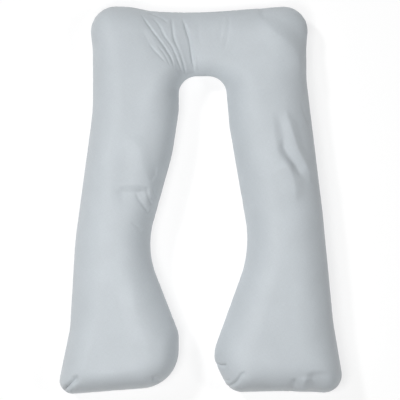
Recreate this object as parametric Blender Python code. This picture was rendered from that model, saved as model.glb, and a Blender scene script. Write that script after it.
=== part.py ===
"""U-shaped body pillow, lying on its back: one stuffed cotton cover with two long legs.

Metres, +Z up. The pillow lies on z = 0, +Y points to the bar that joins the legs, and the
origin is under the middle of its box. The cover is two equal panels sewn together all round,
so the seam runs round the sides at about half height, and each panel bulges away from it.

The plan of the seam is OUTLINE. SECTIONS are cuts across the pillow from its outer side to its
inner side, from the left foot up, along the bar and down to the right foot. Rings of points
between the cuts make the surface, and FOLDS and HOLLOWS press the cover in.
"""

import math
from collections import namedtuple

import bmesh
import bpy
import numpy as np

# The plan of the seam: each corner of the outline, and the radius that rounds it. It runs
# from the left foot up the outer side, over the bar and down to the right foot, then back
# along the inner side.
Corner = namedtuple("Corner", "name x y radius")
OUTLINE = (
    Corner("left toe", -0.542, -0.731, 0.050),
    Corner("left ankle", -0.490, -0.481, 0.225),
    Corner("left flank", -0.470, -0.151, 1.125),
    Corner("left shoulder", -0.404, 0.337, 0.750),
    Corner("left ear", -0.405, 0.562, 0.225),
    Corner("left top", -0.423, 0.726, 0.095),
    Corner("bar rise", -0.268, 0.724, 0.225),
    Corner("bar fall", -0.189, 0.708, 0.225),
    Corner("bar dip", -0.039, 0.700, 2.000),
    Corner("right top", 0.413, 0.733, 0.091),
    Corner("right ear", 0.387, 0.517, 0.880),
    Corner("right flank", 0.455, -0.045, 1.300),
    Corner("right ankle", 0.495, -0.458, 0.560),
    Corner("right toe", 0.541, -0.726, 0.068),
    Corner("right sole", 0.306, -0.715, 1.100),
    Corner("right heel end", 0.108, -0.721, 0.080),
    Corner("right heel", 0.042, -0.582, 0.100),
    Corner("right waist", 0.186, -0.184, 0.430),
    Corner("right thigh", 0.107, 0.273, 0.375),
    Corner("right crook", 0.090, 0.464, 0.068),
    Corner("left crook", -0.084, 0.463, 0.068),
    Corner("left thigh", -0.082, 0.337, 0.225),
    Corner("left knee", -0.107, 0.172, 0.560),
    Corner("left waist", -0.206, -0.183, 0.320),
    Corner("left heel", -0.083, -0.498, 0.094),
    Corner("left heel end", -0.084, -0.695, 0.145),
)

# Cuts across the pillow. outer and inner say where each cut meets the outline, counted in
# corners: 2 is the middle of corner 2's curve, and 2.5 is half way on to corner 3's. crown is
# the height of the top, seam the height of the seam, reach how far in from the seam the top
# comes up to the crown, and rings the number of rings on to the next cut.
Section = namedtuple("Section", "name outer inner crown seam reach rings")
SECTIONS = (
    Section("left sole", 0.00, 25.00, 0.194, 0.068, 0.062, 12),
    Section("left foot", 0.55, 24.55, 0.202, 0.078, 0.088, 4),
    Section("left heel", 1.00, 24.00, 0.204, 0.082, 0.106, 12),
    Section("left waist", 1.95, 23.00, 0.206, 0.084, 0.128, 3),
    Section("left calf", 2.12, 22.79, 0.205, 0.084, 0.124, 13),
    Section("left knee", 2.50, 22.20, 0.200, 0.083, 0.120, 7),
    Section("left thigh", 2.90, 21.20, 0.194, 0.082, 0.116, 7),
    Section("left ear", 4.00, 20.42, 0.188, 0.082, 0.106, 6),
    Section("left corner", 5.00, 20.22, 0.180, 0.082, 0.096, 8),
    Section("left bend", 6.00, 20.06, 0.168, 0.080, 0.090, 6),
    Section("bar fall", 7.00, 19.95, 0.153, 0.078, 0.084, 10),
    Section("bar", 8.00, 19.62, 0.130, 0.076, 0.080, 6),
    Section("bar right", 8.52, 19.10, 0.136, 0.076, 0.086, 6),
    Section("right corner", 9.00, 18.80, 0.158, 0.076, 0.106, 7),
    Section("right ear", 10.00, 18.50, 0.184, 0.078, 0.120, 5),
    Section("right thigh", 10.38, 18.05, 0.194, 0.081, 0.124, 12),
    Section("right knee", 10.88, 17.45, 0.202, 0.083, 0.126, 5),
    Section("right waist", 11.10, 17.00, 0.206, 0.084, 0.128, 12),
    Section("right heel", 11.95, 16.08, 0.204, 0.082, 0.126, 4),
    Section("right foot", 12.52, 15.60, 0.202, 0.078, 0.106, 12),
    Section("right sole", 13.00, 15.00, 0.194, 0.068, 0.070, 0),
)

# Creases in the top panel, each along a curve from start past middle to end. depth is how far
# the crease goes in, and width how far it fades sideways.
Fold = namedtuple("Fold", "name start middle end width depth")
FOLDS = (
    Fold("long crease", (-0.212, 0.680), (-0.143, 0.583), (-0.091, 0.471), 0.010, 0.0050),
    Fold("second crease", (-0.188, 0.680), (-0.115, 0.578), (-0.066, 0.471), 0.009, 0.0040),
    Fold("upright crease", (-0.111, 0.684), (-0.096, 0.588), (-0.055, 0.471), 0.010, 0.0045),
    Fold("bar crease", (-0.074, 0.692), (-0.042, 0.586), (-0.023, 0.471), 0.011, 0.0060),
    Fold("outer crease", (-0.204, 0.703), (-0.155, 0.682), (-0.118, 0.653), 0.010, 0.0030),
    Fold("low crease", (-0.191, 0.578), (-0.164, 0.547), (-0.131, 0.508), 0.010, 0.0030),
    Fold("side trough", (-0.218, 0.640), (-0.192, 0.580), (-0.148, 0.523), 0.016, 0.0025),
    Fold("bar ripple", (-0.005, 0.680), (-0.008, 0.624), (0.002, 0.570), 0.013, 0.0020),
    Fold("bar trough", (0.081, 0.695), (0.081, 0.643), (0.072, 0.570), 0.016, 0.0022),
    Fold("corner trough", (0.238, 0.728), (0.250, 0.695), (0.268, 0.655), 0.020, 0.0035),
    Fold("knee ledge", (-0.318, 0.030), (-0.262, 0.022), (-0.192, 0.030), 0.022, 0.0080),
    Fold("knee edge", (-0.226, 0.225), (-0.178, 0.160), (-0.148, 0.070), 0.020, 0.0040),
    Fold("knee pucker", (-0.202, 0.058), (-0.197, 0.016), (-0.182, -0.020), 0.010, 0.0045),
    Fold("middle pucker", (-0.240, 0.024), (-0.219, -0.014), (-0.192, -0.054), 0.010, 0.0045),
    Fold("low pucker", (-0.262, -0.074), (-0.237, -0.095), (-0.205, -0.115), 0.012, 0.0045),
    Fold("tongue's edge", (0.306, 0.330), (0.309, 0.258), (0.330, 0.170), 0.017, 0.0060),
    Fold("tongue's tip", (0.322, 0.184), (0.362, 0.118), (0.382, 0.020), 0.018, 0.0100),
    Fold("flank fold", (0.342, 0.310), (0.368, 0.190), (0.420, 0.055), 0.015, 0.0060),
    Fold("left toe pleat", (-0.464, -0.630), (-0.486, -0.674), (-0.508, -0.712), 0.013, 0.0100),
    Fold("left heel tuck", (-0.204, -0.674), (-0.176, -0.668), (-0.146, -0.656), 0.012, 0.0080),
    Fold("left heel fold", (-0.196, -0.330), (-0.162, -0.450), (-0.153, -0.590), 0.024, 0.0050),
    Fold("right heel tuck", (0.094, -0.700), (0.130, -0.666), (0.164, -0.624), 0.013, 0.0080),
    Fold("right heel nick", (0.048, -0.610), (0.074, -0.615), (0.100, -0.608), 0.011, 0.0060),
    Fold("right sole tuck", (0.340, -0.722), (0.342, -0.692), (0.354, -0.654), 0.012, 0.0050),
    Fold("right toe tuck", (0.412, -0.630), (0.420, -0.678), (0.422, -0.724), 0.020, 0.0070),
)

# Shallow round hollows where the stuffing is thin. A swell has a depth below 0.
Hollow = namedtuple("Hollow", "name x y radius depth")
HOLLOWS = (
    Hollow("left knee", -0.268, 0.070, 0.070, 0.006),
    Hollow("left knee's swell", -0.385, 0.150, 0.080, -0.012),
    Hollow("left heel", -0.150, -0.440, 0.100, 0.006),
    Hollow("bar", -0.062, 0.545, 0.055, 0.005),
    Hollow("right ear", 0.390, 0.630, 0.075, 0.020),
    Hollow("right knee", 0.385, 0.160, 0.080, 0.008),
    Hollow("right knee's swell", 0.280, 0.110, 0.080, -0.008),
    Hollow("right heel's swell", 0.170, -0.680, 0.045, -0.010),
    Hollow("right toe", 0.435, -0.690, 0.060, 0.008),
)

TOP_STRIPS = 28  # faces across the top panel
UNDER_COLUMNS = (0, 2, 4, 7, 10, 18, 21, 24, 26, 28)  # the columns that the bottom panel keeps
SEAM_STEP = 0.004  # the spacing of the points that round the outline's corners
LEAST_OFF = 1e-5  # keeps a point that is in line with a stretch of seam from dividing by 0
UNDER_REACH = 0.070  # how far in from the seam the bottom panel meets the ground
CROWN_POWER = 1.8  # 2 would make each half of a section an ellipse; less is flatter there
SOLE_BEND = 0.160  # how far up a foot the rings bend with its sole
SOLE_CROWDING = 1.7  # above 1, the rings of a foot draw together at its sole
SEAM_DRAW = 0.0045  # how far the seam pulls the sides in
SEAM_REACH = 0.016  # how far above and below it the seam does so
FOLD_STEPS = 32  # the points along a fold's curve
FOLD_FADE = 0.22  # the share of a fold's length over which each end fades

COVER_COLOUR = (0.56, 0.60, 0.64, 1.0)
COVER_ROUGHNESS = 0.62


def unit(vector):
    """The vector's direction."""
    return vector / np.linalg.norm(vector)


def rounded_outline(corners):
    """The points of the closed outline, and the index of the middle of each corner's curve."""
    places = np.array([(c.x, c.y) for c in corners])
    points, middles = [], []
    for i, corner in enumerate(corners):
        back = unit(places[i - 1] - places[i])
        ahead = unit(places[(i + 1) % len(places)] - places[i])
        half = math.acos(np.clip(back @ ahead, -1, 1)) / 2
        centre = places[i] + unit(back + ahead) * corner.radius / math.sin(half)
        first = places[i] + back * corner.radius / math.tan(half) - centre
        last = places[i] + ahead * corner.radius / math.tan(half) - centre
        sweep = math.atan2(first[0] * last[1] - first[1] * last[0], first @ last)
        steps = 2 * max(2, round(abs(sweep) * corner.radius / SEAM_STEP / 2))
        for turn in np.linspace(0, sweep, steps + 1):
            cos, sin = math.cos(turn), math.sin(turn)
            spoke = (cos * first[0] - sin * first[1], sin * first[0] + cos * first[1])
            points.append(centre + spoke)
        middles.append(len(points) - 1 - steps // 2)
    return np.array(points), middles


class Outline:
    """The closed seam line, read by a place counted in corners."""

    def __init__(self, corners):
        points, middles = rounded_outline(corners)
        self.points = np.vstack([points, points[:1]])
        steps = np.linalg.norm(np.diff(self.points, axis=0), axis=1)
        self.lengths = np.append(0, np.cumsum(steps))
        self.marks = np.append(self.lengths[middles], self.lengths[-1] + self.lengths[middles[0]])

    def along(self, lengths):
        """The points at these lengths along the seam."""
        run = lengths % self.lengths[-1]
        return np.stack([np.interp(run, self.lengths, xy) for xy in self.points.T], axis=-1)

    def at(self, places):
        """The points at these places, which may be fractions of the way between corners."""
        return self.along(np.interp(places, np.arange(len(self.marks)), self.marks))


def smooth_column(values, at):
    """A column of SECTIONS read between its rows on a curve that never overshoots them."""
    values = np.asarray(values, float)
    rise = np.diff(values)
    slopes = np.zeros(len(values))
    same_way = rise[:-1] * rise[1:] > 0
    both = np.where(same_way, rise[:-1] + rise[1:], 1)
    slopes[1:-1] = np.where(same_way, 2 * rise[:-1] * rise[1:] / both, 0)
    slopes[0], slopes[-1] = rise[0], rise[-1]
    row = np.clip(at.astype(int), 0, len(values) - 2)
    u = at - row
    return (
        values[row] * (1 + 2 * u) * (1 - u) ** 2
        + slopes[row] * u * (1 - u) ** 2
        + values[row + 1] * u**2 * (3 - 2 * u)
        - slopes[row + 1] * u**2 * (1 - u)
    )


def ring_places():
    """Where each ring lies, counted in sections."""
    places = []
    for i, section in enumerate(SECTIONS[:-1]):
        share = np.arange(section.rings) / section.rings
        if i == 0:
            share = share**SOLE_CROWDING
        if i == len(SECTIONS) - 2:
            share = 1 - (1 - share) ** SOLE_CROWDING
        places.extend(i + share)
    return np.array([*places, len(SECTIONS) - 1])


def swell(share):
    """The rounded rise of a stuffed edge: 0 at the seam, 1 from share = 1 on."""
    return (1 - (1 - np.clip(share, 0, 1)) ** CROWN_POWER) ** (1 / CROWN_POWER)


def line_pull(along, off):
    """The pull on a point from a straight line that starts level with it and runs along.

    off is the point's distance from the line, and each bit of the line pulls by the inverse
    fourth power of its distance.
    """
    return along / (2 * off**2 * (off**2 + along**2)) + np.arctan(along / off) / (2 * off**3)


def insets(points, outline):
    """How far in from the seam each point is, evened out so that no ridge forms half way.

    A straight seam by itself gives the true distance, and a point half way between two seams
    a little less.
    """
    starts = outline.points[:-1]
    lengths = np.diff(outline.lengths)
    aims = np.diff(outline.points, axis=0) / lengths[:, None]
    found = np.zeros(points.shape[:2])
    for ring, row in zip(points[1:-1, 1:-1], found[1:-1, 1:-1]):
        apart = ring[:, None] - starts
        along = (apart * aims).sum(axis=-1)
        off = np.abs(apart[..., 0] * aims[:, 1] - apart[..., 1] * aims[:, 0])
        off = np.maximum(off, LEAST_OFF)
        pull = (line_pull(along, off) - line_pull(along - lengths, off)).sum(axis=1)
        row[:] = (pull * 2 / math.pi) ** (-1 / 3)
    return found


class Plan:
    """The plan of the rings: a row of points for each ring, from the outer to the inner side."""

    def __init__(self):
        outline = Outline(OUTLINE)
        at = ring_places()
        self.crown, self.seam, self.reach = (
            smooth_column([getattr(s, name) for s in SECTIONS], at)[:, None]
            for name in ("crown", "seam", "reach")
        )
        outer = outline.at(smooth_column([s.outer for s in SECTIONS], at))
        inner = outline.at(smooth_column([s.inner for s in SECTIONS], at))
        share = (1 - np.cos(np.linspace(0, math.pi, TOP_STRIPS + 1)))[:, None] / 2
        self.points = outer[:, None] * (1 - share) + inner[:, None] * share
        self.bend_to_soles(outline, share[:, 0])
        self.inset = insets(self.points, outline)

    def bend_to_soles(self, outline, share):
        """Bends the rings near each foot's end so that the last one lies on the sole's seam."""
        left, right = SECTIONS[0], SECTIONS[-1]
        left_sole = outline.at(len(OUTLINE) + (left.inner - len(OUTLINE)) * share)
        right_sole = outline.at(right.outer + (right.inner - right.outer) * share)
        middle = self.points[:, TOP_STRIPS // 2].copy()
        for end, sole in ((0, left_sole), (-1, right_sole)):
            apart = np.linalg.norm(middle - middle[end], axis=1)
            bend = np.clip(1 - apart / SOLE_BEND, 0, 1) ** 2
            self.points += bend[:, None, None] * (sole - self.points[end])


def curve_of(fold):
    """Points along a fold's curve."""
    u = np.linspace(0, 1, FOLD_STEPS)[:, None]
    start, middle, end = (np.array(p) for p in (fold.start, fold.middle, fold.end))
    control = 2 * middle - (start + end) / 2
    return (1 - u) ** 2 * start + 2 * u * (1 - u) * control + u**2 * end


def fold_depth(points, fold):
    """How far a fold presses the cover in at each point of the plan."""
    apart = np.linalg.norm(points[..., None, :] - curve_of(fold), axis=-1)
    along = apart.argmin(axis=-1) / (FOLD_STEPS - 1)
    fade = np.clip(np.minimum(along, 1 - along) / FOLD_FADE, 0, 1)
    return fold.depth * fade * (2 - fade) * np.exp(-((apart.min(axis=-1) / fold.width) ** 2))


def hollow_depth(points, hollow):
    """How far a hollow presses the cover in at each point of the plan."""
    apart = np.linalg.norm(points - (hollow.x, hollow.y), axis=-1)
    return hollow.depth * np.exp(-((apart / hollow.radius) ** 2))


def top_heights(plan):
    """The heights of the top panel."""
    rise = swell(plan.inset / plan.reach)
    pressed = sum(fold_depth(plan.points, fold) for fold in FOLDS)
    pressed += sum(hollow_depth(plan.points, hollow) for hollow in HOLLOWS)
    return plan.seam + (plan.crown - plan.seam - pressed) * rise


def bottom_heights(plan):
    """The heights of the bottom panel, which lies flat on the ground away from the seam."""
    return plan.seam * (1 - swell(plan.inset / UNDER_REACH))


def surfaces():
    """The points of the top and the bottom panel, a row for each ring, about the origin."""
    plan = Plan()
    inward = np.gradient(plan.points, axis=1)
    inward /= np.linalg.norm(inward, axis=-1, keepdims=True)
    inward[:, TOP_STRIPS // 2 :] *= -1
    panels = []
    for heights in (top_heights(plan), bottom_heights(plan)):
        away = np.abs(heights - plan.seam)
        drawn = SEAM_DRAW * np.clip(1 - away / SEAM_REACH, 0, 1) ** 2
        panels.append(np.dstack([plan.points + drawn[..., None] * inward, heights]))
    places = np.array(panels)[..., :2].reshape(-1, 2)
    middle = (places.min(axis=0) + places.max(axis=0)) / 2
    return [panel - (*middle, 0) for panel in panels]


def cover_mesh():
    """The closed mesh of the two panels, which share the points of the seam."""
    top, bottom = surfaces()
    mesh = bmesh.new()
    upper = [[mesh.verts.new(point) for point in ring] for ring in top]
    lower = [
        [above[0], *(mesh.verts.new(ring[k]) for k in UNDER_COLUMNS[1:-1]), above[-1]]
        for ring, above in zip(bottom[1:-1], upper[1:-1])
    ]
    for near, far in zip(upper, upper[1:]):
        for j in range(TOP_STRIPS):
            mesh.faces.new((near[j], far[j], far[j + 1], near[j + 1]))
    spans = list(zip(UNDER_COLUMNS, UNDER_COLUMNS[1:]))
    for near, far in zip(lower, lower[1:]):
        for j in range(len(spans)):
            mesh.faces.new((near[j + 1], far[j + 1], far[j], near[j]))
    for sole, ring in ((upper[0], lower[0]), (upper[-1], lower[-1])):
        for j, (first, last) in enumerate(spans):
            mesh.faces.new((*sole[first : last + 1], ring[j + 1], ring[j]))
    bmesh.ops.recalc_face_normals(mesh, faces=mesh.faces)
    return mesh


def cover_material():
    """Smooth pale grey cotton."""
    material = bpy.data.materials.new("cover")
    material.use_nodes = True
    shader = material.node_tree.nodes["Principled BSDF"]
    shader.inputs["Base Color"].default_value = COVER_COLOUR
    shader.inputs["Roughness"].default_value = COVER_ROUGHNESS
    shader.inputs["Metallic"].default_value = 0.0
    return material


def make_pillow():
    """The pillow, one stuffed piece."""
    data = bpy.data.meshes.new("pillow")
    mesh = cover_mesh()
    mesh.to_mesh(data)
    mesh.free()
    data.shade_smooth()
    data.materials.append(cover_material())
    pillow = bpy.data.objects.new("pillow", data)
    bpy.context.scene.collection.objects.link(pillow)


for old in list(bpy.data.objects):
    bpy.data.objects.remove(old)
make_pillow()
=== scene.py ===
"""The look of a U-shaped body pillow: its stuffed cotton cover, the light and the camera.

Metres, +Z up. The pillow lies on z = 0 and +Y points to the bar that joins its legs. The cover is
two equal panels sewn together all round. Its plan and its sections are the frame's own, cut
finer, and CREASES, HOLLOWS and the puckers of the seam are pressed into them.
"""

import math
from collections import namedtuple

import bpy
import numpy as np
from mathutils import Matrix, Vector, noise


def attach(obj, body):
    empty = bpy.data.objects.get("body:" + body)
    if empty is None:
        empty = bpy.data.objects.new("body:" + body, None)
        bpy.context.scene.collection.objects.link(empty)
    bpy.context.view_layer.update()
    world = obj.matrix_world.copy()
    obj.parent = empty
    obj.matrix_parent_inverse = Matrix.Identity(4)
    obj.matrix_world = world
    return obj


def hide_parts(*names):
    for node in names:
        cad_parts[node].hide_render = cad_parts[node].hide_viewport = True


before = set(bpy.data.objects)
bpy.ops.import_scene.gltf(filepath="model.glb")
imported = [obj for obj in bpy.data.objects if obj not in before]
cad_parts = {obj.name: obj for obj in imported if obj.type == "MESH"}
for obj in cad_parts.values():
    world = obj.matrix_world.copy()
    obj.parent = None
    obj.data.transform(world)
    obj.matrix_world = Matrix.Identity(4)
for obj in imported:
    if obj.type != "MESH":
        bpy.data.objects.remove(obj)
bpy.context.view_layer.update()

# The plan of the seam: each corner of the outline, and the radius that rounds it. It runs
# from the left foot up the outer side, over the bar and down to the right foot, then back
# along the inner side.
Corner = namedtuple("Corner", "name x y radius")
OUTLINE = (
    Corner("left toe", -0.542, -0.731, 0.050),
    Corner("left ankle", -0.490, -0.481, 0.225),
    Corner("left flank", -0.470, -0.151, 1.125),
    Corner("left shoulder", -0.404, 0.337, 0.750),
    Corner("left ear", -0.405, 0.562, 0.225),
    Corner("left top", -0.423, 0.726, 0.095),
    Corner("bar rise", -0.268, 0.724, 0.225),
    Corner("bar fall", -0.189, 0.708, 0.225),
    Corner("bar dip", -0.039, 0.700, 2.000),
    Corner("right top", 0.413, 0.733, 0.091),
    Corner("right ear", 0.387, 0.517, 0.880),
    Corner("right flank", 0.455, -0.045, 1.300),
    Corner("right ankle", 0.495, -0.458, 0.560),
    Corner("right toe", 0.541, -0.726, 0.068),
    Corner("right sole", 0.306, -0.715, 1.100),
    Corner("right heel end", 0.108, -0.721, 0.080),
    Corner("right heel", 0.042, -0.582, 0.100),
    Corner("right waist", 0.186, -0.184, 0.430),
    Corner("right thigh", 0.107, 0.273, 0.375),
    Corner("right crook", 0.090, 0.464, 0.068),
    Corner("left crook", -0.084, 0.463, 0.068),
    Corner("left thigh", -0.082, 0.337, 0.225),
    Corner("left knee", -0.107, 0.172, 0.560),
    Corner("left waist", -0.206, -0.183, 0.320),
    Corner("left heel", -0.083, -0.498, 0.094),
    Corner("left heel end", -0.084, -0.695, 0.145),
)

# Cuts across the pillow. outer and inner say where each cut meets the outline, counted in
# corners: 2 is the middle of corner 2's curve, and 2.5 is half way on to corner 3's. crown is
# the height of the top, seam the height of the seam, reach how far in from the seam the top
# comes up to the crown, and rings the number of rings on to the next cut.
Section = namedtuple("Section", "name outer inner crown seam reach rings")
SECTIONS = (
    Section("left sole", 0.00, 25.00, 0.194, 0.068, 0.062, 40),
    Section("left foot", 0.55, 24.55, 0.202, 0.078, 0.088, 14),
    Section("left heel", 1.00, 24.00, 0.204, 0.082, 0.106, 44),
    Section("left waist", 1.95, 23.00, 0.206, 0.084, 0.128, 14),
    Section("left calf", 2.12, 22.79, 0.205, 0.084, 0.124, 52),
    Section("left knee", 2.50, 22.20, 0.200, 0.083, 0.120, 30),
    Section("left thigh", 2.90, 21.20, 0.194, 0.082, 0.116, 26),
    Section("left ear", 4.00, 20.42, 0.188, 0.082, 0.106, 22),
    Section("left corner", 5.00, 20.22, 0.180, 0.082, 0.096, 26),
    Section("left bend", 6.00, 20.06, 0.168, 0.080, 0.090, 22),
    Section("bar fall", 7.00, 19.95, 0.153, 0.078, 0.084, 34),
    Section("bar", 8.00, 19.62, 0.130, 0.076, 0.080, 26),
    Section("bar right", 8.52, 19.10, 0.136, 0.076, 0.086, 20),
    Section("right corner", 9.00, 18.80, 0.158, 0.076, 0.106, 24),
    Section("right ear", 10.00, 18.50, 0.184, 0.078, 0.120, 20),
    Section("right thigh", 10.38, 18.05, 0.194, 0.081, 0.124, 44),
    Section("right knee", 10.88, 17.45, 0.202, 0.083, 0.126, 20),
    Section("right waist", 11.10, 17.00, 0.206, 0.084, 0.128, 40),
    Section("right heel", 11.95, 16.08, 0.204, 0.082, 0.126, 16),
    Section("right foot", 12.52, 15.60, 0.202, 0.078, 0.106, 42),
    Section("right sole", 13.00, 15.00, 0.194, 0.068, 0.070, 0),
)

# Creases in the top panel. left and right say how wide each side of a crease is, looking along
# the path at its bottom, and depth how deep it is there. A ridge has a depth below 0.
Crease = namedtuple("Crease", "name left right depth path")
CREASES = (
    # The fan at the bar's left end, where the leg pulls on the bar.
    Crease("long crease", 0.0060, 0.0080, 0.0036,
           ((-0.232, 0.706), (-0.200, 0.658), (-0.174, 0.621), (-0.147, 0.586), (-0.121, 0.547),
            (-0.106, 0.517), (-0.098, 0.471))),
    Crease("second crease", 0.0060, 0.0070, 0.0028,
           ((-0.191, 0.686), (-0.156, 0.651), (-0.133, 0.606), (-0.103, 0.561), (-0.066, 0.465))),
    Crease("upright crease", 0.0050, 0.0080, 0.0044,
           ((-0.109, 0.690), (-0.104, 0.636), (-0.099, 0.603), (-0.089, 0.573), (-0.080, 0.550))),
    Crease("third crease", 0.0060, 0.0070, 0.0024,
           ((-0.092, 0.590), (-0.080, 0.555), (-0.070, 0.525), (-0.062, 0.498), (-0.056, 0.462))),
    Crease("bar crease", 0.0090, 0.0070, 0.0048,
           ((-0.074, 0.692), (-0.052, 0.628), (-0.040, 0.583), (-0.034, 0.538), (-0.023, 0.471))),
    Crease("bar facet", 0.0120, 0.0360, 0.0022,
           ((-0.068, 0.668), (-0.050, 0.620), (-0.041, 0.580), (-0.035, 0.538), (-0.022, 0.465))),
    Crease("last ripple", 0.0070, 0.0080, 0.0016,
           ((-0.014, 0.550), (-0.012, 0.516), (-0.006, 0.474))),
    Crease("outer crease", 0.0060, 0.0070, 0.0024,
           ((-0.204, 0.703), (-0.167, 0.688), (-0.141, 0.674), (-0.118, 0.653))),
    Crease("low crease", 0.0060, 0.0080, 0.0024,
           ((-0.191, 0.578), (-0.176, 0.559), (-0.156, 0.538), (-0.131, 0.508))),
    Crease("lowest crease", 0.0050, 0.0060, 0.0020,
           ((-0.163, 0.574), (-0.134, 0.538), (-0.112, 0.492))),
    Crease("nick", 0.0040, 0.0050, 0.0014,
           ((-0.094, 0.603), (-0.088, 0.590), (-0.082, 0.572))),
    Crease("side trough", 0.0200, 0.0260, 0.0022,
           ((-0.218, 0.640), (-0.205, 0.606), (-0.176, 0.557), (-0.148, 0.523))),
    # Soft ripples across the bar.
    Crease("bar ripple", 0.0080, 0.0160, 0.0018,
           ((-0.005, 0.680), (-0.007, 0.624), (0.002, 0.570))),
    Crease("bar furrow", 0.0080, 0.0160, 0.0020,
           ((0.081, 0.695), (0.079, 0.643), (0.070, 0.583))),
    Crease("bar hollow", 0.0080, 0.0140, 0.0022,
           ((0.108, 0.705), (0.106, 0.678), (0.100, 0.617), (0.084, 0.544))),
    Crease("corner trough", 0.0300, 0.0120, 0.0045,
           ((0.220, 0.745), (0.224, 0.715), (0.230, 0.690), (0.242, 0.662))),
    Crease("corner ridge", 0.0500, 0.0500, -0.0075,
           ((0.222, 0.700), (0.255, 0.640), (0.302, 0.600), (0.335, 0.570), (0.358, 0.523),
            (0.368, 0.430))),
    # The left knee: a ledge, the fold above it, and the puckers at the inner side.
    Crease("knee ledge", 0.0260, 0.0700, 0.0050,
           ((-0.345, 0.030), (-0.295, 0.028), (-0.245, 0.028), (-0.175, 0.032))),
    Crease("ledge's deep end", 0.0260, 0.0600, 0.0062,
           ((-0.314, 0.029), (-0.272, 0.028), (-0.232, 0.029), (-0.194, 0.033))),
    Crease("knee rim", 0.0340, 0.0600, -0.0045,
           ((-0.300, 0.250), (-0.267, 0.231), (-0.241, 0.209), (-0.222, 0.179), (-0.217, 0.149),
            (-0.213, 0.119), (-0.200, 0.089), (-0.190, 0.059), (-0.188, 0.010), (-0.192, -0.040))),
    Crease("inner facet", 0.0080, 0.0180, 0.0018,
           ((-0.168, 0.125), (-0.170, 0.095), (-0.187, 0.066))),
    Crease("knee pucker", 0.0060, 0.0080, 0.0036,
           ((-0.202, 0.058), (-0.198, 0.029), (-0.191, 0.006), (-0.180, -0.020))),
    Crease("middle pucker", 0.0070, 0.0080, 0.0036,
           ((-0.240, 0.036), (-0.226, 0.003), (-0.207, -0.024), (-0.190, -0.054))),
    Crease("short pucker", 0.0050, 0.0060, 0.0018,
           ((-0.183, 0.050), (-0.173, 0.025), (-0.166, 0.002))),
    Crease("low pucker", 0.0070, 0.0110, 0.0030,
           ((-0.262, -0.074), (-0.237, -0.095), (-0.206, -0.114))),
    # The right knee: the folds at the edge of a wide tongue of cloth, and along the flank.
    Crease("tongue's rim", 0.0240, 0.0650, -0.0050,
           ((0.258, 0.330), (0.264, 0.299), (0.272, 0.239), (0.278, 0.209), (0.280, 0.179),
            (0.298, 0.149), (0.322, 0.119), (0.334, 0.080))),
    Crease("tongue's edge", 0.0300, 0.0240, 0.0014,
           ((0.280, 0.340), (0.290, 0.290), (0.302, 0.239), (0.302, 0.209), (0.313, 0.179),
            (0.336, 0.149), (0.354, 0.119))),
    Crease("tongue's tip", 0.0320, 0.0220, 0.0060,
           ((0.300, 0.235), (0.303, 0.205), (0.313, 0.179), (0.335, 0.149), (0.354, 0.119),
            (0.364, 0.080))),
    Crease("tongue's foot", 0.0350, 0.0500, -0.0085,
           ((0.298, 0.160), (0.316, 0.125), (0.332, 0.095), (0.343, 0.060), (0.347, 0.030),
            (0.348, -0.010))),
    Crease("flank fold", 0.0300, 0.0300, -0.0095,
           ((0.312, 0.345), (0.320, 0.299), (0.330, 0.269), (0.338, 0.239), (0.347, 0.209),
            (0.358, 0.179), (0.373, 0.149), (0.390, 0.119), (0.400, 0.089), (0.408, 0.050))),
    Crease("upper fold", 0.0080, 0.0120, 0.0020,
           ((0.369, 0.366), (0.386, 0.325), (0.403, 0.276))),
    # The feet: pleats at the corners, and tucks along the soles.
    Crease("left toe pleat", 0.0160, 0.0170, 0.0130,
           ((-0.452, -0.640), (-0.466, -0.664), (-0.485, -0.685), (-0.502, -0.703),
            (-0.514, -0.718))),
    Crease("left heel nick", 0.0260, 0.0120, 0.0125,
           ((-0.166, -0.646), (-0.171, -0.662), (-0.177, -0.680))),
    Crease("left heel fold", 0.0550, 0.0550, -0.0055,
           ((-0.256, -0.270), (-0.252, -0.320), (-0.248, -0.376), (-0.238, -0.421),
            (-0.230, -0.458), (-0.218, -0.496), (-0.200, -0.533), (-0.186, -0.580))),
    Crease("right heel pleat", 0.0090, 0.0120, 0.0080,
           ((0.094, -0.704), (0.115, -0.686), (0.130, -0.673), (0.148, -0.647), (0.164, -0.624))),
    Crease("high nick", 0.0070, 0.0070, 0.0088,
           ((0.046, -0.610), (0.066, -0.615), (0.080, -0.615), (0.100, -0.608))),
    Crease("low nick", 0.0070, 0.0090, 0.0034,
           ((0.070, -0.680), (0.096, -0.673), (0.113, -0.663))),
    Crease("first sole tuck", 0.0100, 0.0090, 0.0090,
           ((0.343, -0.735), (0.341, -0.705), (0.342, -0.682), (0.348, -0.650))),
    Crease("toe ridge", 0.0240, 0.0280, -0.0060,
           ((0.378, -0.718), (0.380, -0.695), (0.382, -0.675), (0.386, -0.645))),
    Crease("toe trough", 0.0280, 0.0750, 0.0080,
           ((0.418, -0.745), (0.416, -0.705), (0.414, -0.665), (0.408, -0.625))),
)

# Shallow round hollows where the stuffing is thin. A swell has a depth below 0.
Hollow = namedtuple("Hollow", "name x y radius depth")
HOLLOWS = (
    Hollow("left knee", -0.268, 0.070, 0.070, 0.006),
    Hollow("left knee's swell", -0.385, 0.150, 0.080, -0.012),
    Hollow("left heel", -0.150, -0.440, 0.100, 0.006),
    Hollow("bar", -0.062, 0.545, 0.055, 0.005),
    Hollow("right ear", 0.390, 0.630, 0.075, 0.020),
    Hollow("right knee", 0.385, 0.160, 0.080, 0.008),
    Hollow("right knee's swell", 0.280, 0.110, 0.080, -0.008),
    Hollow("right heel's swell", 0.170, -0.680, 0.045, -0.010),
    Hollow("right toe", 0.435, -0.690, 0.060, 0.008),
)

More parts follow.
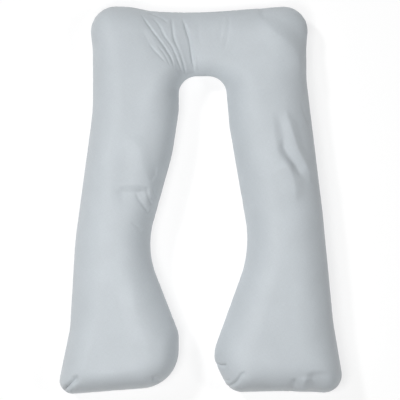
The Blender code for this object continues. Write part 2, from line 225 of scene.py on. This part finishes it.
# The faces of the two panels.
TOP_STRIPS = 120  # faces across the top panel
RIM_STRIPS = 16  # faces of the top panel, at each side, that the bottom panel matches
FLAT_STEP = 22  # columns of the top panel to each face across the bottom's flat middle
SEAM_STEP = 0.003  # the spacing of the points that round the outline's corners
LEAST_OFF = 1e-5  # keeps a point that is in line with a stretch of seam from dividing by 0

# How the columns and the rings are spaced.
SHARE_STEPS = 20001  # the places at which a section is measured to space the columns on it
SHARE_POWER = 3  # above 1, those places draw together at the seam, where the cloth is steep
STEEPNESS = 0.43  # the rise of that section above its seam, over its width
RISE_SHARE = 0.40  # the share of its width over which it rises at each side
SEAM_CROWDING = 0.45  # above 0, the columns draw together at the seam
SOLE_BEND = 0.160  # how far up a foot the rings bend with its sole
SOLE_CROWDING = 1.7  # above 1, the rings of a foot draw together at its sole

# The form of a section.
CROWN_POWER = 1.8  # 2 would make the rise at each side an ellipse, and 1 a straight slope
UNDER_REACH = 0.070  # how far in from the seam the bottom panel meets the ground
SEAM_DRAW = 0.0045  # how far the seam pulls the sides in
SEAM_REACH = 0.016  # how far above and below it the seam does so
RIM_SWELL = 0.0016  # how far the cloth swells back out beside the seam's own narrow groove
RIM_WIDTH = 0.007  # how far from the seam it does so most

# The creases.
CREASE_STEP = 0.002  # the spacing of the points along a crease
CREASE_FADE = 0.25  # the share of a crease's length over which each end fades
CREASE_TAPER = 0.4  # how narrow a crease's ends are, as a share of its width
CREASE_ROUNDING = 0.10  # the share of a crease's width over which its edges are rounded
CREASE_SPREAD = 1.8  # the widths of a crease beyond which it moves nothing
CREASE_SEAM_FADE = 0.020  # how near to the seam, along the cloth, the creases begin to fade

# The soft lumps of the stuffing.
LUMP_SIZE = 0.085
LUMP_HEIGHT = 0.0016
LUMP_SEAM_FADE = 0.050  # how near to the seam, along the cloth, the lumps begin to fade
LUMP_SLICE = 0.5  # the height at which the lumps' noise is cut

# The seam's puckers are short dents that run in from it. Each takes its width, how far it
# reaches in, its depth and its distance to the next from between two bounds.
PUCKER_WIDTH = (0.0030, 0.0060)
PUCKER_REACH = (0.012, 0.040)
PUCKER_DEPTH = (0.0003, 0.0013)
PUCKER_SPACING = (0.012, 0.034)
PUCKER_SEED = 7


def unit(vector):
    """The vector's direction."""
    return vector / np.linalg.norm(vector)


def rounded_outline(corners):
    """The points of the closed outline, and the index of the middle of each corner's curve."""
    places = np.array([(c.x, c.y) for c in corners])
    points, middles = [], []
    for i, corner in enumerate(corners):
        back = unit(places[i - 1] - places[i])
        ahead = unit(places[(i + 1) % len(places)] - places[i])
        half = math.acos(np.clip(back @ ahead, -1, 1)) / 2
        centre = places[i] + unit(back + ahead) * corner.radius / math.sin(half)
        first = places[i] + back * corner.radius / math.tan(half) - centre
        last = places[i] + ahead * corner.radius / math.tan(half) - centre
        sweep = math.atan2(first[0] * last[1] - first[1] * last[0], first @ last)
        steps = 2 * max(2, round(abs(sweep) * corner.radius / SEAM_STEP / 2))
        for turn in np.linspace(0, sweep, steps + 1):
            cos, sin = math.cos(turn), math.sin(turn)
            spoke = (cos * first[0] - sin * first[1], sin * first[0] + cos * first[1])
            points.append(centre + spoke)
        middles.append(len(points) - 1 - steps // 2)
    return np.array(points), middles


class Outline:
    """The closed seam line, read by a place counted in corners."""

    def __init__(self, corners):
        points, middles = rounded_outline(corners)
        self.points = np.vstack([points, points[:1]])
        steps = np.linalg.norm(np.diff(self.points, axis=0), axis=1)
        self.lengths = np.append(0, np.cumsum(steps))
        self.marks = np.append(self.lengths[middles], self.lengths[-1] + self.lengths[middles[0]])

    def along(self, lengths):
        """The points at these lengths along the seam."""
        run = lengths % self.lengths[-1]
        return np.stack([np.interp(run, self.lengths, xy) for xy in self.points.T], axis=-1)

    def at(self, places):
        """The points at these places, which may be fractions of the way between corners."""
        return self.along(np.interp(places, np.arange(len(self.marks)), self.marks))


def smooth_column(values, at):
    """A column of SECTIONS read between its rows on a curve that never overshoots them."""
    values = np.asarray(values, float)
    rise = np.diff(values)
    slopes = np.zeros(len(values))
    same_way = rise[:-1] * rise[1:] > 0
    both = np.where(same_way, rise[:-1] + rise[1:], 1)
    slopes[1:-1] = np.where(same_way, 2 * rise[:-1] * rise[1:] / both, 0)
    slopes[0], slopes[-1] = rise[0], rise[-1]
    row = np.clip(at.astype(int), 0, len(values) - 2)
    u = at - row
    return (
        values[row] * (1 + 2 * u) * (1 - u) ** 2
        + slopes[row] * u * (1 - u) ** 2
        + values[row + 1] * u**2 * (3 - 2 * u)
        - slopes[row + 1] * u**2 * (1 - u)
    )


def ring_places():
    """Where each ring lies, counted in sections."""
    places = []
    for i, section in enumerate(SECTIONS[:-1]):
        share = np.arange(section.rings) / section.rings
        if i == 0:
            share = share**SOLE_CROWDING
        if i == len(SECTIONS) - 2:
            share = 1 - (1 - share) ** SOLE_CROWDING
        places.extend(i + share)
    return np.array([*places, len(SECTIONS) - 1])


def swell(share):
    """The rounded rise of a stuffed edge: 0 at the seam, 1 from share = 1 on."""
    return (1 - (1 - np.clip(share, 0, 1)) ** CROWN_POWER) ** (1 / CROWN_POWER)


def column_shares():
    """How far across the plan each column lies, with the columns evenly spaced on the cloth."""
    across = np.linspace(0, 1, SHARE_STEPS) ** SHARE_POWER / 2
    height = STEEPNESS * swell(across / RISE_SHARE)
    cloth = np.append(0, np.cumsum(np.hypot(np.diff(across), np.diff(height))))
    v = np.arange(TOP_STRIPS // 2 + 1) / TOP_STRIPS
    spaced = v - SEAM_CROWDING * np.sin(2 * math.pi * v) / (2 * math.pi)
    near = np.interp(2 * spaced * cloth[-1], cloth, across)
    return np.append(near, 1 - near[-2::-1])


def line_pull(along, off):
    """The pull on a point from a straight line that starts level with it and runs along.

    off is the point's distance from the line, and each bit of the line pulls by the inverse
    fourth power of its distance.
    """
    return along / (2 * off**2 * (off**2 + along**2)) + np.arctan(along / off) / (2 * off**3)


def seam_distances(points, outline):
    """How far in from the seam each point is, and the length along the seam nearest to it.

    The distance is evened out so that no ridge forms half way: a straight seam by itself gives
    the true distance, and a point half way between two seams a little less.
    """
    starts = outline.points[:-1]
    lengths = np.diff(outline.lengths)
    aims = np.diff(outline.points, axis=0) / lengths[:, None]
    inset = np.zeros(points.shape[:2])
    nearest = np.zeros(points.shape[:2])
    for ring, depths, places in zip(points, inset, nearest):
        apart = ring[:, None] - starts
        along = (apart * aims).sum(axis=-1)
        off = np.abs(apart[..., 0] * aims[:, 1] - apart[..., 1] * aims[:, 0])
        off = np.maximum(off, LEAST_OFF)
        pull = (line_pull(along, off) - line_pull(along - lengths, off)).sum(axis=1)
        depths[:] = (pull * 2 / math.pi) ** (-1 / 3)
        run = np.clip(along, 0, lengths)
        stretch = np.hypot(off, along - run).argmin(axis=1)
        places[:] = outline.lengths[stretch] + run[np.arange(len(ring)), stretch]
    inset[0] = inset[-1] = 0
    inset[:, 0] = inset[:, -1] = 0
    return inset, nearest


class Plan:
    """The plan of the rings: a row of points for each ring, from the outer to the inner side."""

    def __init__(self):
        outline = Outline(OUTLINE)
        at = ring_places()
        self.crown, self.seam, self.reach = (
            smooth_column([getattr(s, name) for s in SECTIONS], at)[:, None]
            for name in ("crown", "seam", "reach")
        )
        outer = outline.at(smooth_column([s.outer for s in SECTIONS], at))
        inner = outline.at(smooth_column([s.inner for s in SECTIONS], at))
        share = column_shares()
        self.points = outer[:, None] * (1 - share[:, None]) + inner[:, None] * share[:, None]
        self.bend_to_soles(outline, share)
        self.inset, self.seam_place = seam_distances(self.points, outline)
        self.seam_length = outline.lengths[-1]

    def bend_to_soles(self, outline, share):
        """Bends the rings near each foot's end so that the last one lies on the sole's seam."""
        left, right = SECTIONS[0], SECTIONS[-1]
        left_sole = outline.at(len(OUTLINE) + (left.inner - len(OUTLINE)) * share)
        right_sole = outline.at(right.outer + (right.inner - right.outer) * share)
        middle = self.points[:, TOP_STRIPS // 2].copy()
        for end, sole in ((0, left_sole), (-1, right_sole)):
            apart = np.linalg.norm(middle - middle[end], axis=1)
            bend = np.clip(1 - apart / SOLE_BEND, 0, 1) ** 2
            self.points += bend[:, None, None] * (sole - self.points[end])


def smooth_path(marks, spacing):
    """Evenly spaced points on a smooth curve through the marks."""
    marks = np.array(marks)
    marks = np.vstack([2 * marks[0] - marks[1], marks, 2 * marks[-1] - marks[-2]])
    points = []
    for before, start, end, after in zip(marks, marks[1:], marks[2:], marks[3:]):
        u = np.arange(0, 1, spacing / np.linalg.norm(end - start))[:, None]
        points.append(
            start
            + (end - before) * u / 2
            + (2 * before - 5 * start + 4 * end - after) * u**2 / 2
            + (3 * start - before - 3 * end + after) * u**3 / 2
        )
    return np.vstack([*points, marks[-2:-1]])


def smooth_rise(share):
    """0 up to share = 0, 1 from share = 1 on, and smooth between."""
    share = np.clip(share, 0, 1)
    return share * share * (3 - 2 * share)


def crease_depth(points, crease):
    """How far a crease presses the cover in at each point of the plan."""
    path = smooth_path(crease.path, CREASE_STEP)
    steps = np.diff(path, axis=0)
    lengths = np.linalg.norm(steps, axis=1)
    marks = np.append(0, np.cumsum(lengths))
    spread = CREASE_SPREAD * max(crease.left, crease.right)
    low, high = path.min(axis=0) - spread, path.max(axis=0) + spread
    near = ((points > low) & (points < high)).all(axis=-1)
    apart = points[near][:, None] - path[:-1]
    run = np.clip((apart * steps).sum(axis=-1) / lengths**2, 0, 1)
    off = apart - run[..., None] * steps
    distance = np.linalg.norm(off, axis=-1)
    nearest = distance.argmin(axis=1)
    rows = np.arange(len(nearest))
    left = steps[nearest, 0] * off[rows, nearest, 1] > steps[nearest, 1] * off[rows, nearest, 0]
    along = (marks[nearest] + run[rows, nearest] * lengths[nearest]) / marks[-1]
    fade = smooth_rise(along / CREASE_FADE) * smooth_rise((1 - along) / CREASE_FADE)
    width = np.where(left, crease.left, crease.right) * (CREASE_TAPER + (1 - CREASE_TAPER) * fade)
    share = distance[rows, nearest] / width
    depth = np.zeros(points.shape[:-1])
    dip = CREASE_ROUNDING * np.logaddexp(0, (1 - share) / CREASE_ROUNDING)
    depth[near] = crease.depth * fade * dip
    return depth


def hollow_depth(points, hollow):
    """How far a hollow presses the cover in at each point of the plan."""
    apart = np.linalg.norm(points - (hollow.x, hollow.y), axis=-1)
    return hollow.depth * np.exp(-((apart / hollow.radius) ** 2))


def top_heights(plan):
    """The heights of the top panel before its creases."""
    rise = swell(plan.inset / plan.reach)
    pressed = sum(hollow_depth(plan.points, hollow) for hollow in HOLLOWS)
    return plan.seam + (plan.crown - plan.seam - pressed) * rise


def bottom_heights(plan):
    """The heights of the bottom panel, which lies flat on the ground away from the seam."""
    return plan.seam * (1 - swell(plan.inset / UNDER_REACH))


def lumps(points):
    """How far the stuffing lifts the cover at each point of the plan."""
    return LUMP_HEIGHT * np.array(
        [
            [noise.noise((x / LUMP_SIZE, y / LUMP_SIZE, LUMP_SLICE)) for x, y in ring]
            for ring in points
        ]
    )


def puckers(plan, from_seam):
    """How far the seam's puckers press a panel in. from_seam is measured along the cloth."""
    draw = np.random.default_rng(PUCKER_SEED)
    found = np.zeros(plan.inset.shape)
    place = 0.0
    while place < plan.seam_length:
        width, reach, depth = (
            draw.uniform(*span) for span in (PUCKER_WIDTH, PUCKER_REACH, PUCKER_DEPTH)
        )
        apart = np.abs(plan.seam_place - place)
        apart = np.minimum(apart, plan.seam_length - apart)
        found += depth * np.exp(-((apart / width) ** 2)) * (1 - smooth_rise(from_seam / reach))
        place += draw.uniform(*PUCKER_SPACING)
    return found


def across_cloth(points):
    """The length along the cloth from the ring's outer end to each of its points."""
    steps = np.linalg.norm(np.diff(points, axis=1), axis=-1)
    return np.pad(np.cumsum(steps, axis=1), ((0, 0), (1, 0)))


def from_seam_on_cloth(points, plan):
    """How far each point is from the seam along the cloth, at the sides and at the soles."""
    run = across_cloth(points)
    side = np.minimum(run, run[:, -1:] - run)
    along = across_cloth(points.swapaxes(0, 1)).T
    sole = np.minimum(along, along[-1] - along)
    return np.minimum(side, np.maximum(sole, plan.inset))


def outward(points):
    """The directions straight out of a panel, whose rings run up the plan's outer side."""
    normals = np.cross(np.gradient(points, axis=1), np.gradient(points, axis=0))
    return normals / np.linalg.norm(normals, axis=-1, keepdims=True)


def surfaces():
    """The points of the top and the bottom panel, a row for each ring, about the origin."""
    plan = Plan()
    inward = np.gradient(plan.points, axis=1)
    inward /= np.linalg.norm(inward, axis=-1, keepdims=True)
    inward[:, TOP_STRIPS // 2 :] *= -1
    panels = []
    for heights in (top_heights(plan), bottom_heights(plan)):
        away = np.abs(heights - plan.seam)
        drawn = SEAM_DRAW * np.clip(1 - away / SEAM_REACH, 0, 1) ** 2
        panels.append(np.dstack([plan.points + drawn[..., None] * inward, heights]))
    places = np.array(panels)[..., :2].reshape(-1, 2)
    middle = (places.min(axis=0) + places.max(axis=0)) / 2
    top, bottom = (panel - (*middle, 0) for panel in panels)
    creased = sum(crease_depth(plan.points, crease) for crease in CREASES)
    from_seam = from_seam_on_cloth(top, plan)
    rim = RIM_SWELL * (from_seam / RIM_WIDTH) * np.exp(1 - from_seam / RIM_WIDTH)
    lift = lumps(plan.points) * smooth_rise(from_seam / LUMP_SEAM_FADE)
    lift -= creased * smooth_rise(from_seam / CREASE_SEAM_FADE)
    lift += rim - puckers(plan, from_seam)
    lift[0] = lift[-1] = 0
    lift[:, 0] = lift[:, -1] = 0
    top += lift[..., None] * outward(top)
    return top, bottom


def under_columns():
    """The columns of the top panel that the bottom panel has too."""
    far = TOP_STRIPS + 1 - RIM_STRIPS
    return [*range(RIM_STRIPS), *range(RIM_STRIPS, far, FLAT_STEP), *range(far, TOP_STRIPS + 1)]


def cover_mesh(top, bottom):
    """The closed mesh of the two panels, which share the points of the seam."""
    rings, columns = top.shape[:2]
    under = under_columns()
    upper = np.arange(rings * columns).reshape(rings, columns)
    lower = upper.size + np.arange((rings - 2) * (len(under) - 2)).reshape(rings - 2, -1)
    lower = np.hstack([upper[1:-1, :1], lower, upper[1:-1, -1:]])
    faces = [
        (near[j], near[j + 1], far[j + 1], far[j])
        for near, far in zip(upper.tolist(), upper[1:].tolist())
        for j in range(columns - 1)
    ]
    faces += [
        (near[j], far[j], far[j + 1], near[j + 1])
        for near, far in zip(lower.tolist(), lower[1:].tolist())
        for j in range(len(under) - 1)
    ]
    for j, (first, last) in enumerate(zip(under, under[1:])):
        faces.append((*upper[0, first : last + 1][::-1].tolist(), *lower[0, j : j + 2].tolist()))
        faces.append((*upper[-1, first : last + 1].tolist(), *lower[-1, j : j + 2][::-1].tolist()))
    points = np.vstack([top.reshape(-1, 3), bottom[1:-1, under[1:-1]].reshape(-1, 3)])
    mesh = bpy.data.meshes.new("cover")
    mesh.from_pydata(points.tolist(), [], faces)
    mesh.shade_smooth()
    return mesh


def cloth_places(panel):
    """Where each point of a panel lies in its flat cloth, in metres: its plan, unrolled sideways."""
    middle = panel[:, TOP_STRIPS // 2, :2]
    run = across_cloth(panel)
    run -= run[:, TOP_STRIPS // 2 : TOP_STRIPS // 2 + 1]
    across = panel[:, -1, :2] - panel[:, 0, :2]
    across /= np.linalg.norm(across, axis=-1, keepdims=True)
    return middle[:, None] + run[..., None] * across[:, None]


COTTON = (0.557, 0.600, 0.632, 1.0)
COTTON_FINISH = {
    "Roughness": 0.58,
    "Specular IOR Level": 0.45,
    "Sheen Weight": 0.18,
    "Sheen Roughness": 0.45,
}
# Sizes of noise in cells a metre, across and along the cloth. Detail is its number of layers.
THREADS = ((900.0, 90.0), (90.0, 900.0))
THREAD_DETAIL = 1
THREAD_TONE = 0.035  # how much lighter and darker than the cloth single threads are
MOTTLE = (9.0, 9.0)  # the cloth's broad unevenness of tone
MOTTLE_DETAIL = 3
MOTTLE_TONE = 0.03
NOISE_MIDDLE = 0.5
NOISE_SWING = 0.25  # how far from its middle a noise mostly runs
WEAVE_BUMP = 0.22
WEAVE_HEIGHT = 0.0004
SLUBS = (140.0, 140.0)  # the uneven thickness of the yarn
SLUB_DETAIL = 2
SLUB_BUMP = 0.10
SLUB_HEIGHT = 0.0015


class Nodes:
    """Short ways to make and link a material's nodes."""

    def __init__(self, material):
        material.use_nodes = True
        self.tree = material.node_tree
        self.shader = self.tree.nodes["Principled BSDF"]

    def add(self, kind, **settings):
        """A new node of that kind with those settings."""
        node = self.tree.nodes.new(kind)
        for name, value in settings.items():
            setattr(node, name, value)
        return node

    def link(self, source, target):
        """Links an output to an input."""
        self.tree.links.new(source, target)

    def noise(self, vector, size, detail):
        """A noise of that size, with that many layers."""
        mapping = self.add("ShaderNodeMapping")
        mapping.inputs["Scale"].default_value = (*size, 1)
        texture = self.add("ShaderNodeTexNoise")
        texture.inputs["Scale"].default_value = 1
        texture.inputs["Detail"].default_value = detail
        self.link(vector, mapping.inputs["Vector"])
        self.link(mapping.outputs["Vector"], texture.inputs["Vector"])
        return texture.outputs["Fac"]

    def sum_of(self, first, second):
        """The sum of two values."""
        add = self.add("ShaderNodeMath", operation="ADD")
        self.link(first, add.inputs[0])
        self.link(second, add.inputs[1])
        return add.outputs["Value"]

    def spread(self, value, middle, tone):
        """The value, centred on middle, as a factor that runs tone above and below 1."""
        scaled = self.add("ShaderNodeMapRange", clamp=False)
        self.link(value, scaled.inputs["Value"])
        scaled.inputs["From Min"].default_value = middle - NOISE_SWING
        scaled.inputs["From Max"].default_value = middle + NOISE_SWING
        scaled.inputs["To Min"].default_value = 1 - tone
        scaled.inputs["To Max"].default_value = 1 + tone
        return scaled.outputs["Result"]

    def times(self, colour, factor):
        """A colour, given as a tuple or as an output, times a factor."""
        mix = self.add("ShaderNodeVectorMath", operation="SCALE")
        if isinstance(colour, tuple):
            mix.inputs["Vector"].default_value = colour[:3]
        else:
            self.link(colour, mix.inputs["Vector"])
        self.link(factor, mix.inputs["Scale"])
        return mix.outputs["Vector"]

    def bump(self, height, strength, distance, normal=None):
        """The normal that a bump of that height makes, on top of another normal if given."""
        bump = self.add("ShaderNodeBump")
        bump.inputs["Strength"].default_value = strength
        bump.inputs["Distance"].default_value = distance
        self.link(height, bump.inputs["Height"])
        if normal is not None:
            self.link(normal, bump.inputs["Normal"])
        return bump.outputs["Normal"]


def cotton():
    """Smooth closely woven cotton: uneven threads both ways, a faint mottle and a soft sheen."""
    material = bpy.data.materials.new("pale blue-grey cotton")
    nodes = Nodes(material)
    place = nodes.add("ShaderNodeUVMap", uv_map="cloth").outputs["UV"]
    threads = nodes.sum_of(*(nodes.noise(place, size, THREAD_DETAIL) for size in THREADS))
    mottle = nodes.noise(place, MOTTLE, MOTTLE_DETAIL)
    slubs = nodes.noise(place, SLUBS, SLUB_DETAIL)
    colour = nodes.times(COTTON, nodes.spread(threads, 2 * NOISE_MIDDLE, THREAD_TONE))
    colour = nodes.times(colour, nodes.spread(mottle, NOISE_MIDDLE, MOTTLE_TONE))
    normal = nodes.bump(threads, WEAVE_BUMP, WEAVE_HEIGHT)
    normal = nodes.bump(slubs, SLUB_BUMP, SLUB_HEIGHT, normal)
    nodes.link(colour, nodes.shader.inputs["Base Color"])
    nodes.link(normal, nodes.shader.inputs["Normal"])
    for name, value in COTTON_FINISH.items():
        nodes.shader.inputs[name].default_value = value
    return material


def link(name, data):
    """A new object in the scene."""
    made = bpy.data.objects.new(name, data)
    bpy.context.scene.collection.objects.link(made)
    return made


def make_cover():
    """The pillow's cover, which stands for the frame's solid."""
    top, bottom = surfaces()
    mesh = cover_mesh(top, bottom)
    places = np.vstack([
        cloth_places(top).reshape(-1, 2),
        cloth_places(bottom)[1:-1, under_columns()[1:-1]].reshape(-1, 2),
    ])
    corners = np.zeros(len(mesh.loops), np.int32)
    mesh.loops.foreach_get("vertex_index", corners)
    mesh.uv_layers.new(name="cloth").data.foreach_set("uv", places[corners].ravel())
    mesh.materials.append(cotton())
    cover = link("cover", mesh)
    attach(cover, "root")
    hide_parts("pillow")


WHITE = (1.0, 1.0, 1.0, 1.0)
FLOOR_HALF = 8.0  # half the floor's width
FLOOR_DEPTH = 0.0005  # how far below the pillow the floor lies
FLOOR_COLOUR = (0.29, 0.29, 0.29, 1.0)
FLOOR_ROUGHNESS = 0.9
FLOOR_GLOW = 0.73  # keeps the floor pale in the pillow's soft shadow
SKY_STRENGTH = 0.06

# Square soft lights, all aimed at the pillow's middle.
Light = namedtuple("Light", "name x y z power")
LIGHTS = (
    Light("front", -0.8, -0.6, 3.5, 56),
    Light("high front", -1.2, 0.4, 6.5, 30),
    Light("high left", -6.0, 5.0, 8.0, 480),
    Light("right", 5.0, 0.0, 6.0, 110),
)
LIGHT_SIZE = 1.2
LIGHT_AIM = Vector((0, 0, 0.1))

CAMERA_PLACE = (-0.0026, 0.0014, 6.08)
CAMERA_LENS = 144


def make_floor():
    """The plain pale surface that the pillow lies on."""
    mesh = bpy.data.meshes.new("floor")
    corners = ((-1, -1), (1, -1), (1, 1), (-1, 1))
    points = [(x * FLOOR_HALF, y * FLOOR_HALF, -FLOOR_DEPTH) for x, y in corners]
    mesh.from_pydata(points, [], [(0, 1, 2, 3)])
    material = bpy.data.materials.new("pale floor")
    shader = Nodes(material).shader
    shader.inputs["Base Color"].default_value = FLOOR_COLOUR
    shader.inputs["Roughness"].default_value = FLOOR_ROUGHNESS
    shader.inputs["Emission Color"].default_value = WHITE
    shader.inputs["Emission Strength"].default_value = FLOOR_GLOW
    mesh.materials.append(material)
    link("floor", mesh)


def make_sky():
    """Even light from all round."""
    world = bpy.data.worlds.new("studio")
    bpy.context.scene.world = world
    world.use_nodes = True
    sky = world.node_tree.nodes["Background"]
    sky.inputs["Color"].default_value = WHITE
    sky.inputs["Strength"].default_value = SKY_STRENGTH


def make_light(light):
    """A square soft light."""
    lamp = bpy.data.lights.new(light.name, "AREA")
    lamp.size = LIGHT_SIZE
    lamp.energy = light.power
    made = link(light.name, lamp)
    made.location = (light.x, light.y, light.z)
    made.rotation_euler = (LIGHT_AIM - made.location).to_track_quat("-Z", "Y").to_euler()


def make_camera():
    """The camera, straight above the pillow."""
    data = bpy.data.cameras.new("camera")
    data.lens = CAMERA_LENS
    camera = link("camera", data)
    camera.location = CAMERA_PLACE
    bpy.context.scene.camera = camera


bpy.context.scene.view_settings.view_transform = "Standard"
make_camera()
make_cover()
make_floor()
make_sky()
for light in LIGHTS:
    make_light(light)
